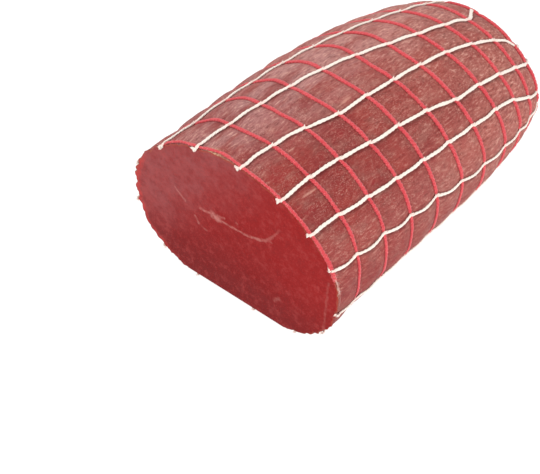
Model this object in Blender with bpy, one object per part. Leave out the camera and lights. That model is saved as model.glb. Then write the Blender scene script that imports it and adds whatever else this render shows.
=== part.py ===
"""Air-dried beef: the cut half of a cured joint, still tied in its net of white strings and red hoops.

Metres, +Z up. The cut face looks along -Y, the joint runs away along +Y, and it rests on z = 0. The
origin is the middle of the whole thing's footprint.

A place on the joint is written two ways. By its net: u counts the lengthwise strings round the joint
and v counts the hoops from the cut, so the strings lie at whole u and the hoops at whole v. And by its
body: an angle round the section and an arc length from the cut along the side.
"""

import math

import bmesh
import bpy
import numpy as np

MILLIMETRE = 0.001

# Body
LENGTH = 0.1970
HALF_WIDTHS = (0.0654, 0.0633, 0.0540)   # at the cut, half way and at the far end
HEIGHTS = (0.0940, 0.0978, 0.0840)       # the same three places
CAP_START = 0.097                        # where the far end begins to round off
CAP_BLUNTNESS = 9.0                      # 2 is a round end, more is a flatter one
END_DROP = 0.0087                        # how far the middle of the far end lies below half height
END_SHIFT = 0.0015                       # and how far it lies towards -X
TOP_POWER = 1.08                         # 1 is an ellipse, less is a boxier section
LOW_LEFT_POWER = 0.79
POWER_PLACES = (0, 0.1, 0.25, 0.5, 0.8, 1.0)   # shares of the length, for the next two
LOW_RIGHT_POWERS = (0.775, 0.89, 0.95, 0.98, 0.98, 1.06)
TOP_LEFT_POWERS = (1.08, 1.15, 1.13, 1.07, 1.06, 1.04)
CUT_SKEW = 0.036                         # slope of the cut across the joint
SAG = 0.0015                             # how far the meat is pressed flat where it rests

# Net
WHITE_WIDTH = 0.0020
WHITE_THICKNESS = 0.0014
RED_WIDTH = 0.0016
RED_THICKNESS = 0.0010
GAP = 0.0003                             # clear space between touching pieces
FLOOR_GAP = 0.0005                       # clear space under the lowest string
HOOPS = 12
HOOP_SPACINGS = (19.0, 21.1, 18.2, 20.8, 19.8, 19.3, 19.5, 16.8, 17.8, 17.3, 18.0)   # millimetres
# How far each hoop lies askew in millimetres, at its right side and at its top
HOOP_LEANS = (0, -1.4, -2.3, -0.6, -0.6, 0.2, 1.9, 3.4, 4.0, 1.5, -0.6, 0, 0)
HOOP_TILTS = (0, 2.4, 0.5, 0.7, -0.5, -1.1, -1.6, -1.4, 1.0, 1.7, 0.5, 0, 0)
# Small local bends of the hoops: the string count, reach in string counts, millimetres to the far end
HOOP_BENDS = ((0.5, 0.35, 2.0), (1.5, 0.4, -1.4), (4.0, 0.8, 0.4), (5.5, 0.4, -1.4))
RIM_HOOP_SETBACK = 0.0010
FREE_END = 0.0018                        # how far a cut string reaches past the rim hoop
ANGLE_STATIONS = (0, 4, 8, 10)           # the hoops at which the string angles are given
STRING_ANGLES = (                        # degrees round the section, +X is 0 and the top is 90
    (135, 128, 115, 116),
    (111.5, 102.5, 84.5, 85.5),
    (88, 73.5, 66, 54.5),
    (62, 54, 43, 38),
    (43.5, 34.5, 24.5, 11),
    (20.5, 11, 1, 0),
    (-9.5, -22, -26.5, -36),
    (-34, -48, -56, -62),
    (-58.5, -76, -85, -93),
    (-83, -103, -112, -120),
    (-107, -126, -137, -146),
    (-131, -150, -160, -168),
    (-166.5, -174, -182, -190),
    (-194.5, -200, -206, -212),
)
STRINGS = len(STRING_ANGLES)
STRING_SAGS = (0, 0, 0, 0, 0, 1.4, 0.7, 0.7, 0, 0, 0, 0, 0, 0)   # degrees, half way between hoops
GATHERED_ANGLE = 110                     # of the first string at the gathered end, where they lie evenly
GATHERED_FROM = 11.5                     # the hoop count past which they do

# Relief: the meat swells between the strings
STRING_VALLEY = 0.0009
HOOP_VALLEY = 0.0012
CROSSING_VALLEY = 0.0020                 # where a string crosses the hoop
RIM_VALLEY = 0.0001                      # at the hoop by the cut
VALLEY_FADE_RADIUS = 0.025               # the swelling dies out towards the gathered end

# Gathered end of the net
END_DIMPLE = 0.0012                      # how far the meat is drawn in behind the knot
KNOT_RADIUS = 0.0052
KNOT_HEIGHT = 0.0060
STRINGS_END = HOOPS - 0.25               # the hoop count at which the strings stop short of the knot

# Facets
COLUMNS_PER_CELL = 3
ROWS_PER_CELL = 4
COLUMNS = STRINGS * COLUMNS_PER_CELL
ROWS = HOOPS * ROWS_PER_CELL
FINE_STRING_FROM = 8                     # strings follow every row of the meat past this hoop
CORD_SIDES = 5
KNOT_SIDES = 12
KNOT_RINGS = 4

# Colours, linear
MEAT_COLOUR = (0.381, 0.098, 0.087, 1.0)
WHITE_COLOUR = (0.905, 0.800, 0.710, 1.0)
RED_COLOUR = (0.680, 0.045, 0.058, 1.0)


def clear_scene():
    for obj in list(bpy.data.objects):
        bpy.data.objects.remove(obj, do_unlink=True)


def material(name, colour, roughness):
    made = bpy.data.materials.new(name)
    made.use_nodes = True
    shader = made.node_tree.nodes["Principled BSDF"]
    shader.inputs["Base Color"].default_value = colour
    shader.inputs["Roughness"].default_value = roughness
    shader.inputs["Metallic"].default_value = 0.0
    return made


def parabola(values, t):
    """A smooth value at t from 0 to 1, through the three given at 0, 0.5 and 1."""
    start, middle, end = values
    return start * (1 - t) * (1 - 2 * t) + 4 * middle * t * (1 - t) + end * t * (2 * t - 1)


def signed_power(value, power):
    return np.sign(value) * np.abs(value) ** power


def side_profile():
    """Arc length along the side, with the distance from the cut and the shrinking of the section there."""
    straight = np.linspace(0, CAP_START, 100)[:-1]
    turn = np.linspace(0, math.pi / 2, 400)
    shrink = np.concatenate([np.ones_like(straight), np.cos(turn)])
    shrink[-1] = 0
    rounding = np.sqrt(1 - np.clip(np.cos(turn), 0, 1) ** CAP_BLUNTNESS)
    reach = np.concatenate([straight, CAP_START + (LENGTH - CAP_START) * rounding])
    t = reach / LENGTH
    radius = (parabola(HALF_WIDTHS, t) + parabola(HEIGHTS, t) / 2) / 2 * shrink
    arc = np.concatenate([[0], np.cumsum(np.hypot(np.diff(reach), np.diff(radius)))])
    return arc, reach, shrink


ARC, REACH, SHRINK = side_profile()


def section_power(angle, t):
    right = np.cos(angle) > 0
    low = np.where(right, np.interp(t, POWER_PLACES, LOW_RIGHT_POWERS), LOW_LEFT_POWER)
    top = np.where(right, TOP_POWER, np.interp(t, POWER_PLACES, TOP_LEFT_POWERS))
    return np.where(np.sin(angle) >= 0, top, low)


def body_point(angle, arc):
    """The even body without its relief, at an angle in radians and an arc length."""
    y = np.interp(arc, ARC, REACH) + np.minimum(arc, 0)
    shrink = np.interp(arc, ARC, SHRINK)
    t = y / LENGTH
    power = section_power(angle, t)
    half_height = parabola(HEIGHTS, t) / 2
    x = parabola(HALF_WIDTHS, t) * shrink * signed_power(np.cos(angle), power)
    x = x - END_SHIFT * (1 - shrink)
    z = half_height * (1 + shrink * signed_power(np.sin(angle), power)) - END_DROP * (1 - shrink)
    return np.stack([x, y + CUT_SKEW * x * (1 - t), z - SAG], -1)


def body_normal(angle, arc):
    step = 1e-4
    round_it = body_point(angle + step, arc) - body_point(angle - step, arc)
    along = body_point(angle, arc + step) - body_point(angle, arc - step)
    outward = np.cross(along, round_it)
    return outward / np.linalg.norm(outward, axis=-1, keepdims=True)


def hoop_arc(v):
    """Arc length from the cut to hoop number v, and on to the middle of the far end."""
    arcs = [0]
    for spacing in HOOP_SPACINGS:
        arcs.append(arcs[-1] + spacing * MILLIMETRE)
    arcs.append(ARC[-1])
    return np.interp(v, range(HOOPS + 1), arcs)


def string_angle(u, v):
    """Angle in radians of net place u, v: cubic along the joint and sagging between the hoops."""
    u = np.asarray(u, float)
    k = np.floor(u).astype(int)
    table = np.array(STRING_ANGLES + tuple(tuple(a - 360 for a in row) for row in STRING_ANGLES))
    sags = np.array(STRING_SAGS * 2) * abs(math.sin(math.pi * v))
    last = ANGLE_STATIONS[-1]
    weights = []
    for station in ANGLE_STATIONS:
        others = [s for s in ANGLE_STATIONS if s != station]
        weights.append(math.prod((min(v, last) - s) / (station - s) for s in others))
    here = sum(w * table[k, n] for n, w in enumerate(weights)) - sags[k]
    onward = sum(w * table[k + 1, n] for n, w in enumerate(weights)) - sags[k + 1]
    angle = here + (onward - here) * (u - k)
    gathered = GATHERED_ANGLE - 360 * u / STRINGS
    share = np.clip((v - last) / (GATHERED_FROM - last), 0, 1)
    return np.radians(angle + (gathered - angle) * share)


def net_place(u, v):
    """Angle and arc length of net place u, v."""
    angle = string_angle(u, v)
    lean = np.interp(v, range(HOOPS + 1), HOOP_LEANS) * MILLIMETRE
    tilt = np.interp(v, range(HOOPS + 1), HOOP_TILTS) * MILLIMETRE
    bend = sum(push * np.exp(-((np.mod(u, STRINGS) - place) / reach) ** 2) for place, reach, push in HOOP_BENDS)
    bend = bend * np.clip(v, 0, 1) * np.clip((9 - v) / 4, 0, 1) * MILLIMETRE
    return angle, hoop_arc(v) + lean * np.cos(angle) + tilt * np.sin(angle) + bend


def row_points(v):
    """The meat's corners on row v, with the outward direction at each."""
    u = np.arange(COLUMNS) / COLUMNS_PER_CELL
    angle, arc = net_place(u, v)
    point = body_point(angle, arc)
    outward = body_normal(angle, arc)
    swell_round = np.abs(np.sin(math.pi * u)) - 1
    swell_along = abs(math.sin(math.pi * v)) - 1
    fade = np.clip((ARC[-1] - arc) / VALLEY_FADE_RADIUS, 0, 1)
    valley = np.where(np.isclose(u, np.round(u)), CROSSING_VALLEY, HOOP_VALLEY)
    if v < 0.5:
        valley = RIM_VALLEY
    relief = fade * STRING_VALLEY * swell_round + valley * swell_along
    point = point + outward * relief[:, None]
    point[:, 2] = np.maximum(point[:, 2], lowest_allowed(u, v))
    return point, outward


def lowest_allowed(u, v):
    """How high the meat has to stay for the strings under it to clear the floor."""
    on_string = np.isclose(u, np.round(u))
    on_hoop = np.isclose(v, round(v))
    under_string = np.where(on_string, FLOOR_GAP + WHITE_THICKNESS + GAP, 0)
    if not on_hoop:
        return under_string
    under_hoop = FLOOR_GAP + RED_THICKNESS + GAP
    return np.where(on_string, under_string + RED_THICKNESS + GAP, under_hoop)


def surface_at(v):
    """The meat's corners at any v, read straight between its rows."""
    low = math.floor(v * ROWS_PER_CELL) / ROWS_PER_CELL
    point, outward = row_points(low)
    part = (v - low) * ROWS_PER_CELL
    if part > 0:
        next_point, next_outward = row_points(low + 1 / ROWS_PER_CELL)
        point = point + (next_point - point) * part
        outward = outward + (next_outward - outward) * part
    return point, outward


def add_object(name, bm, finish, parent):
    bmesh.ops.recalc_face_normals(bm, faces=bm.faces)
    mesh = bpy.data.meshes.new(name)
    bm.to_mesh(mesh)
    bm.free()
    mesh.shade_smooth()
    mesh.set_sharp_from_angle(angle=math.radians(50))
    mesh.materials.append(finish)
    obj = bpy.data.objects.new(name, mesh)
    obj.parent = parent
    bpy.context.scene.collection.objects.link(obj)
    return obj


def bridge(bm, ring, following):
    count = len(ring)
    for i in range(count):
        after = (i + 1) % count
        bm.faces.new((ring[i], ring[after], following[after], following[i]))


def fan(bm, ring, tip):
    for i, corner in enumerate(ring):
        bm.faces.new((corner, ring[(i + 1) % len(ring)], tip))


def build_meat(finish, parent):
    """One closed solid: the flat cut, the side with its swellings, and the drawn-in far end."""
    bm = bmesh.new()
    rings = []
    for row in range(ROWS):
        point, _ = row_points(row / ROWS_PER_CELL)
        rings.append([bm.verts.new(p) for p in point])
    for ring, following in zip(rings, rings[1:]):
        bridge(bm, ring, following)
    cut_middle = np.mean([corner.co for corner in rings[0]], axis=0)
    fan(bm, rings[0], bm.verts.new(cut_middle))
    fan(bm, rings[-1], bm.verts.new(far_end()))
    return add_object("meat", bm, finish, parent)


def far_end():
    """The middle of the far end, drawn in where the net is gathered."""
    point, _ = row_points(HOOPS - 1 / ROWS_PER_CELL)
    middle = np.mean(point, axis=0)
    middle[1] = LENGTH - END_DIMPLE
    return middle


def cord_ring(bm, centre, across, outward, width, thickness):
    """One oval ring of corners round a cord."""
    ring = []
    for side in range(CORD_SIDES):
        turn = 2 * math.pi * (side + 0.5) / CORD_SIDES
        wide = across * (math.cos(turn) * width / 2)
        high = outward * (math.sin(turn) * thickness / 2)
        ring.append(bm.verts.new(centre + wide + high))
    return ring


def cord(centres, outwards, width, thickness, closed):
    """A cord of oval section along the centres, as a closed loop or with flat ends."""
    bm = bmesh.new()
    count = len(centres)
    rings = []
    for i in range(count):
        before = (i - 1) % count if closed else max(i - 1, 0)
        after = (i + 1) % count if closed else min(i + 1, count - 1)
        along = centres[after] - centres[before]
        across = np.cross(along, outwards[i])
        across = across / np.linalg.norm(across)
        outward = np.cross(across, along)
        outward = outward / np.linalg.norm(outward)
        rings.append(cord_ring(bm, centres[i], across, outward, width, thickness))
    for i in range(count if closed else count - 1):
        bridge(bm, rings[i], rings[(i + 1) % count])
    if not closed:
        bm.faces.new(rings[0])
        bm.faces.new(rings[-1])
    return bm


def hoop_place(number):
    """The v at which a hoop lies: the first one sits just behind the rim of the cut."""
    setback = RIM_HOOP_SETBACK / (HOOP_SPACINGS[0] * MILLIMETRE)
    return setback if number == 0 else number


def build_hoop(number, finish, parent):
    point, outward = surface_at(hoop_place(number))
    centres = point + outward * (GAP + RED_THICKNESS / 2)
    bm = cord(centres, outward, RED_WIDTH, RED_THICKNESS, closed=True)
    return add_object(f"hoop_{number + 1:02d}", bm, finish, parent)


def string_rows():
    """The v of each corner of a lengthwise string, from the rim hoop to the gathered end."""
    rows = [hoop_place(0)]
    v = 0.5
    while v <= STRINGS_END:
        rows.append(v)
        v += 0.5 if v < FINE_STRING_FROM else 1 / ROWS_PER_CELL
    return rows


def build_strings(finish, parent):
    """The lengthwise strings, each passing over every hoop."""
    over_meat = GAP + WHITE_THICKNESS / 2
    over_hoop = over_meat + RED_THICKNESS + GAP
    routes = [[] for _ in range(STRINGS)]
    hoops = [hoop_place(number) for number in range(HOOPS)]
    for v in string_rows():
        point, outward = surface_at(v)
        lift = over_hoop if v in hoops else over_meat
        for k in range(STRINGS):
            column = k * COLUMNS_PER_CELL
            routes[k].append((point[column] + outward[column] * lift, outward[column]))
    made = []
    for k, route in enumerate(routes):
        first, outward = route[0]
        route.insert(0, (first - np.array([0, FREE_END, 0]), outward))
        centres = np.array([centre for centre, _ in route])
        outwards = np.array([direction for _, direction in route])
        bm = cord(centres, outwards, WHITE_WIDTH, WHITE_THICKNESS, closed=False)
        made.append(add_object(f"string_{k + 1:02d}", bm, finish, parent))
    return made


def build_knot(finish, parent):
    """The small gathered knot in the middle of the far end."""
    bm = bmesh.new()
    base = far_end() + np.array([0, END_DIMPLE, 0])
    rings = []
    for step in range(KNOT_RINGS):
        turn = math.pi * (step + 0.5) / KNOT_RINGS
        radius = KNOT_RADIUS * math.sin(turn) ** 0.6
        height = KNOT_HEIGHT * (1 - math.cos(turn)) / 2
        ring = []
        for side in range(KNOT_SIDES):
            angle = 2 * math.pi * side / KNOT_SIDES
            offset = np.array([radius * math.cos(angle), height, radius * math.sin(angle)])
            ring.append(bm.verts.new(base + offset))
        rings.append(ring)
    for ring, following in zip(rings, rings[1:]):
        bridge(bm, ring, following)
    bm.faces.new(rings[0])
    bm.faces.new(rings[-1])
    return add_object("end_knot", bm, finish, parent)


def centre_footprint(parent, parts):
    """Moves everything so that the origin is the middle of the footprint, on the floor."""
    corners = np.array([tuple(v.co) for obj in parts for v in obj.data.vertices])
    low = corners.min(axis=0)
    high = corners.max(axis=0)
    parent.location = (-(low[0] + high[0]) / 2, -(low[1] + high[1]) / 2, -low[2])


def main():
    clear_scene()
    meat_finish = material("dried_meat", MEAT_COLOUR, 0.75)
    white_finish = material("white_string", WHITE_COLOUR, 0.9)
    red_finish = material("red_elastic", RED_COLOUR, 0.8)
    whole = bpy.data.objects.new("joint_of_beef", None)
    bpy.context.scene.collection.objects.link(whole)
    parts = [build_meat(meat_finish, whole)]
    parts += [build_hoop(number, red_finish, whole) for number in range(HOOPS)]
    parts += build_strings(white_finish, whole)
    parts.append(build_knot(white_finish, whole))
    centre_footprint(whole, parts)


main()
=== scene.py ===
"""Looks of the air-dried beef: a fine meat surface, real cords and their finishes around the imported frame.

Metres, +Z up. A place on the joint is written by its net: u counts the lengthwise strings round it and
v counts the hoops from the cut, so the strings lie at whole u and the hoops at whole v, both from 0. A
cell is the patch of meat between two strings and two hoops.
"""

import math

import bpy
import numpy as np
from mathutils import Matrix, Vector


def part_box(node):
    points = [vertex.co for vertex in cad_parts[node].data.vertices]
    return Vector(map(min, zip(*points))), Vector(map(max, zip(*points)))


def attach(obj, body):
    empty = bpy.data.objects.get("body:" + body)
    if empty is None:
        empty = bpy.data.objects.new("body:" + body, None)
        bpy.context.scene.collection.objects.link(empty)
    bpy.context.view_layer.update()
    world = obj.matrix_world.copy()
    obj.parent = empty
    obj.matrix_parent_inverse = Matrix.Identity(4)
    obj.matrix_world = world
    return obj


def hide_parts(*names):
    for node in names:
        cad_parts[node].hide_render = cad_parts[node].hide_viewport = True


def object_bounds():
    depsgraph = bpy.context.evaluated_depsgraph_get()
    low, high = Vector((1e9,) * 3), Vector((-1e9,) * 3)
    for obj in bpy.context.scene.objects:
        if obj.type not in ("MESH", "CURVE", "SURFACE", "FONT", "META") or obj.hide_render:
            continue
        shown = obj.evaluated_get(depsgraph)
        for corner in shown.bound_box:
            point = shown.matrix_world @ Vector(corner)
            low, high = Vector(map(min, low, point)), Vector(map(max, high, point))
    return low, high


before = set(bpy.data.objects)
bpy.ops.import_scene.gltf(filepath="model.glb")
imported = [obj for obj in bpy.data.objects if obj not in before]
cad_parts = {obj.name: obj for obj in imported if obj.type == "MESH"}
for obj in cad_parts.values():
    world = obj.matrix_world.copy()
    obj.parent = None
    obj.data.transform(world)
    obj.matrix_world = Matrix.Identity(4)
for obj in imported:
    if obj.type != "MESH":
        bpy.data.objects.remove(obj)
cad_low, cad_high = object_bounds()

MM = 0.001

# Body, the same sizes as the solids
LENGTH = 0.1970
HALF_WIDTHS = (0.0654, 0.0633, 0.0540)  # at the cut, half way and at the far end
HEIGHTS = (0.0940, 0.0978, 0.0840)  # the same three places
CAP_START = 0.097  # from here on the body rounds off to its far end
CAP_BLUNTNESS = 9.0
END_DROP = 0.0087  # how much lower the middle of the far end lies
END_SHIFT = 0.0015  # and to the left
TOP_POWER = 1.08  # powers of the oval section: 1 is an ellipse, less is squarer
LOW_LEFT_POWER = 0.79
POWER_PLACES = (0, 0.1, 0.25, 0.5, 0.8, 1.0)  # shares of the length, for the next two
LOW_RIGHT_POWERS = (0.775, 0.89, 0.95, 0.98, 0.98, 1.06)
TOP_LEFT_POWERS = (1.08, 1.15, 1.13, 1.07, 1.06, 1.04)
CUT_SKEW = 0.036  # slope of the cut across the joint
SAG = 0.0015  # how far its own weight presses it flat
END_DIMPLE = 0.0012  # how far the gathered middle is drawn in

# Net, the same sizes as the solids
HOOPS = 12
HOOP_SPACINGS = (19.0, 21.1, 18.2, 20.8, 19.8, 19.3, 19.5, 16.8, 17.8, 17.3, 18.0)  # millimetres
FIRST_SPACING = HOOP_SPACINGS[0] * MM
MEAN_SPACING = 0.0190
# How far each hoop lies askew in millimetres, at its right side and at its top
HOOP_LEANS = (0, -1.4, -2.3, -0.6, -0.6, 0.2, 1.9, 3.4, 4.0, 1.5, -0.6, 0, 0)
HOOP_TILTS = (0, 2.4, 0.5, 0.7, -0.5, -1.1, -1.6, -1.4, 1.0, 1.7, 0.5, 0, 0)
# Small local bends of the hoops: the string count, reach in string counts, millimetres to the far end
HOOP_BENDS = ((0.5, 0.35, 2.0), (1.5, 0.4, -1.4), (4.0, 0.8, 0.4), (5.5, 0.4, -1.4))
HOOP_BENDS_FADE = (5, 9)  # they fade out between these hoop counts
RIM_HOOP_SETBACK = 1.0 * MM  # behind the rim, where the strings cross the first hoop
# Degrees of each string round the joint, 0 at its right and 90 on top, at four hoop counts
ANGLE_STATIONS = (0, 4, 8, 10)
STRING_ANGLES = np.array((
    (135, 128, 115, 116),
    (111.5, 102.5, 84.5, 85.5),
    (88, 73.5, 66, 54.5),
    (62, 54, 43, 38),
    (43.5, 34.5, 24.5, 11),
    (20.5, 11, 1, 0),
    (-9.5, -22, -26.5, -36),
    (-34, -48, -56, -62),
    (-58.5, -76, -85, -93),
    (-83, -103, -112, -120),
    (-107, -126, -137, -146),
    (-131, -150, -160, -168),
    (-166.5, -174, -182, -190),
    (-194.5, -200, -206, -212),
))
STRINGS = len(STRING_ANGLES)
STRING_SAGS = np.array((0, 0, 0.2, 0.3, 0.4, 2.0, 0.9, 0.7, 0, 0, 0, 0, 0, 0))  # degrees, between hoops
# Small local bends of the strings: the string, hoop count, reach in hoop counts, degrees toward higher u
STRING_BENDS = (
    (1, 2.1, 1.1, 1.6),
    (1, 8.9, 0.3, 1.9),
    (2, 0.0, 0.35, 3.5),
    (2, 1.65, 0.7, -1.9),
    (2, 3.1, 0.5, 0.8),
    (3, 0.0, 0.4, 1.1),
    (3, 1.5, 0.4, -0.5),
    (3, 3.2, 0.5, 0.9),
    (3, 6.05, 0.45, 1.6),
    (3, 7.8, 0.9, -0.6),
    (3, 9.9, 0.4, 1.4),
    (4, 0.0, 0.35, 2.1),
    (4, 4.0, 1.2, 0.6),
    (4, 7.5, 0.7, -1.9),
    (4, 9.1, 0.35, 1.3),
    (5, 1.1, 0.45, 1.1),
    (5, 3.9, 0.4, -1.3),
    (5, 5.8, 0.8, 0.9),
)
GATHERED_ANGLE = 110  # of the first string at the gathered end, where they lie evenly
GATHERED_FROM = 11.5  # the hoop count past which they do
WHITE_WIDTH = 1.9 * MM
WHITE_THICKNESS = 1.1 * MM
RED_WIDTH = 2.5 * MM
RED_THICKNESS = 1.6 * MM
FLOOR_GAP = 0.5 * MM

# Relief of the meat
MEAT_COLUMNS_PER_CELL = 32
MEAT_ROWS_PER_CELL = 14
CROWDING = 0.35  # how much closer the grid lines are beside the cords
CROWN = 0.35 * MM  # how far the middle of a cell stands out
HOOP_VALLEY = 0.80 * MM
HOOP_VALLEY_POWER = 0.75
CROSSING_VALLEY = 0.15 * MM  # how much deeper it is beside a string
CROSSING_WIDTH = 4 * MM
VALLEY_VARIATION = 0.18  # the share by which its depth varies
RIM_VALLEY = 0.05 * MM
STRING_VALLEY = 0.35 * MM
STRING_VALLEY_POWER = 0.8
STRING_VALLEY_AT_HOOPS = 0.3  # the share left at a hoop
VALLEY_FADE_RADIUS = 25 * MM  # round the middle of the far end
CORD_GROOVE = 0.2 * MM
GROOVE_WIDTH = 1.2 * MM
WRINKLE = 0.15 * MM
LUMP = 0.30 * MM
LUMPS_FROM_STRING = 3 * MM  # nearer, the lumps flatten out
SKIN_FROM_HOOP = 2 * MM  # nearer, the skin calms down
CALM_AT_HOOP = 0.7
RAGGED_RIM = 0.45 * MM  # small teeth along the edge of the cut
RAGGED_LEFT = 0.9  # how much larger they are at the left
RAGGED_REACH = 1.6 * MM
HIGHEST_RELIEF = 0.5 * MM
UNDER_STRING_WIDTH = 1.6 * MM  # how wide the meat arches over cords on the floor
UNDER_HOOP_WIDTH = 1.4 * MM
# Noise in the relief: share, cells to each unit of u, cells to each unit of v, seed
WRINKLE_LAYERS = ((1, 13, 2.3, 21), (0.5, 26, 4.1, 22))
LUMP_LAYERS = ((1, 2.5, 2.2, 23), (0.4, 6, 5.3, 24))
TOOTH_LAYERS = ((1, 10, 6, 25), (0.6, 22, 9, 26))


def parabola(values, t):
    """A smooth value at t from 0 to 1, through the three given at 0, 0.5 and 1."""
    start, middle, end = values
    return start * (1 - t) * (1 - 2 * t) + 4 * middle * t * (1 - t) + end * t * (2 * t - 1)


def signed_power(value, power):
    return np.sign(value) * np.abs(value) ** power


def unit(vectors):
    return vectors / np.linalg.norm(vectors, axis=-1, keepdims=True)


def bell(distance, width):
    return np.exp(-(distance / width) ** 2)


def bells(u, places):
    """Bell curves round the joint together, each as place in u, reach and height."""
    return sum(height * bell(u - place, reach) for place, reach, height in places)


def smooth_step(value):
    value = np.clip(value, 0, 1)
    return value * value * (3 - 2 * value)


# Body

def side_profile():
    """Arc length along the side, with the distance from the cut and the shrinking of the section there."""
    straight = np.linspace(0, CAP_START, 100)[:-1]
    turn = np.linspace(0, math.pi / 2, 400)
    shrink = np.concatenate([np.ones_like(straight), np.cos(turn)])
    shrink[-1] = 0
    rounding = np.sqrt(1 - np.clip(np.cos(turn), 0, 1) ** CAP_BLUNTNESS)
    reach = np.concatenate([straight, CAP_START + (LENGTH - CAP_START) * rounding])
    t = reach / LENGTH
    radius = (parabola(HALF_WIDTHS, t) + parabola(HEIGHTS, t) / 2) / 2 * shrink
    arc = np.concatenate([[0], np.cumsum(np.hypot(np.diff(reach), np.diff(radius)))])
    return arc, reach, shrink


ARC, REACH, SHRINK = side_profile()
MEAT_LOW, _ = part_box("meat")
CUT_Y = MEAT_LOW.y - CUT_SKEW * MEAT_LOW.x  # where the cut stands in the frame, on its middle line


def cut_plane_y(x):
    return CUT_Y + CUT_SKEW * x


def section_power(angle, t):
    right = np.cos(angle) > 0
    low = np.where(right, np.interp(t, POWER_PLACES, LOW_RIGHT_POWERS), LOW_LEFT_POWER)
    top = np.where(right, TOP_POWER, np.interp(t, POWER_PLACES, TOP_LEFT_POWERS))
    return np.where(np.sin(angle) >= 0, top, low)


def body_point(angle, arc):
    """The even body without its relief, at an angle in radians and an arc length, in the frame."""
    y = np.interp(arc, ARC, REACH) + np.minimum(arc, 0)
    shrink = np.interp(arc, ARC, SHRINK)
    t = y / LENGTH
    power = section_power(angle, t)
    half_height = parabola(HEIGHTS, t) / 2
    x = parabola(HALF_WIDTHS, t) * shrink * signed_power(np.cos(angle), power)
    x = x - END_SHIFT * (1 - shrink)
    z = half_height * (1 + shrink * signed_power(np.sin(angle), power)) - END_DROP * (1 - shrink)
    return np.stack([x, CUT_Y + y + CUT_SKEW * x * (1 - t), z - SAG], -1)


def body_normal(angle, arc):
    step = 1e-4
    round_it = body_point(angle + step, arc) - body_point(angle - step, arc)
    along = body_point(angle, arc + step) - body_point(angle, arc - step)
    return unit(np.cross(along, round_it))


# Net

def hoop_arc(v):
    """Arc length from the cut to hoop number v, and on to the middle of the far end."""
    arcs = [0]
    for spacing in HOOP_SPACINGS:
        arcs.append(arcs[-1] + spacing * MM)
    arcs.append(ARC[-1])
    return np.interp(v, range(HOOPS + 1), arcs)


def string_degrees(string, v):
    """Where strings lie round the joint at hoop counts v: cubic along it, sagging between the hoops."""
    turns, string = np.divmod(string, STRINGS)
    degrees = -360 * turns
    inner = np.minimum(v, ANGLE_STATIONS[-1])
    for column, station in enumerate(ANGLE_STATIONS):
        weight = 1
        for other in ANGLE_STATIONS:
            if other != station:
                weight = weight * (inner - other) / (station - other)
        degrees = degrees + weight * STRING_ANGLES[string, column]
    degrees = degrees - STRING_SAGS[string] * np.abs(np.sin(math.pi * v))
    for bent, place, reach, bend in STRING_BENDS:
        degrees = degrees - bend * bell(v - place, reach) * (string == bent)
    return degrees


def string_angle(u, v):
    """Angle in radians of net place u, v. At the gathered end the strings lie evenly."""
    u = np.mod(u, STRINGS)
    before = np.floor(u).astype(int)
    here = string_degrees(before, v)
    onward = string_degrees(before + 1, v)
    angle = here + (onward - here) * (u - before)
    gathered = GATHERED_ANGLE - 360 * u / STRINGS
    last = ANGLE_STATIONS[-1]
    share = np.clip((v - last) / (GATHERED_FROM - last), 0, 1)
    return np.radians(angle + (gathered - angle) * share)


def net_place(u, v):
    """Angle and arc length of net place u, v."""
    angle = string_angle(u, v)
    lean = np.interp(v, range(HOOPS + 1), HOOP_LEANS)
    tilt = np.interp(v, range(HOOPS + 1), HOOP_TILTS)
    bend = bells(np.mod(u, STRINGS), HOOP_BENDS) * np.clip(v, 0, 1) * np.interp(v, HOOP_BENDS_FADE, (1, 0))
    return angle, hoop_arc(v) + (lean * np.cos(angle) + tilt * np.sin(angle) + bend) * MM


def cord_distances(u, v):
    """Distance in metres to the nearest string and to the nearest hoop."""
    step = 0.02
    angle, arc = net_place(u, v)
    beside, beside_arc = net_place(u + step, v)
    cell = np.linalg.norm(body_point(beside, beside_arc) - body_point(angle, arc), axis=-1) / step
    return np.abs(u - np.round(u)) * cell, np.abs(v - np.round(v)) * MEAN_SPACING


# Surface of the meat

NOISE_ROWS = 512


def noise(u, v, u_rate, v_rate, seed):
    """Smooth seeded noise from -1 to 1, with so many cells to each unit of u and v. It closes round u."""
    wrap = round(STRINGS * u_rate)
    table = np.random.default_rng(seed).uniform(-1, 1, (wrap, NOISE_ROWS))
    x = np.mod(u, STRINGS) * u_rate
    y = v * v_rate
    column = np.floor(x).astype(int)
    row = np.floor(y).astype(int)
    across = smooth_step(x - column)
    along = smooth_step(y - row)
    left = column % wrap
    right = (column + 1) % wrap
    low = row % NOISE_ROWS
    high = (row + 1) % NOISE_ROWS
    near = table[left, low] * (1 - across) + table[right, low] * across
    far = table[left, high] * (1 - across) + table[right, high] * across
    return near * (1 - along) + far * along


def layered(u, v, layers):
    """Several layers of noise together, each as share, cells to a unit of u and of v, and seed."""
    return sum(share * noise(u, v, u_rate, v_rate, seed) for share, u_rate, v_rate, seed in layers)


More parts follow.
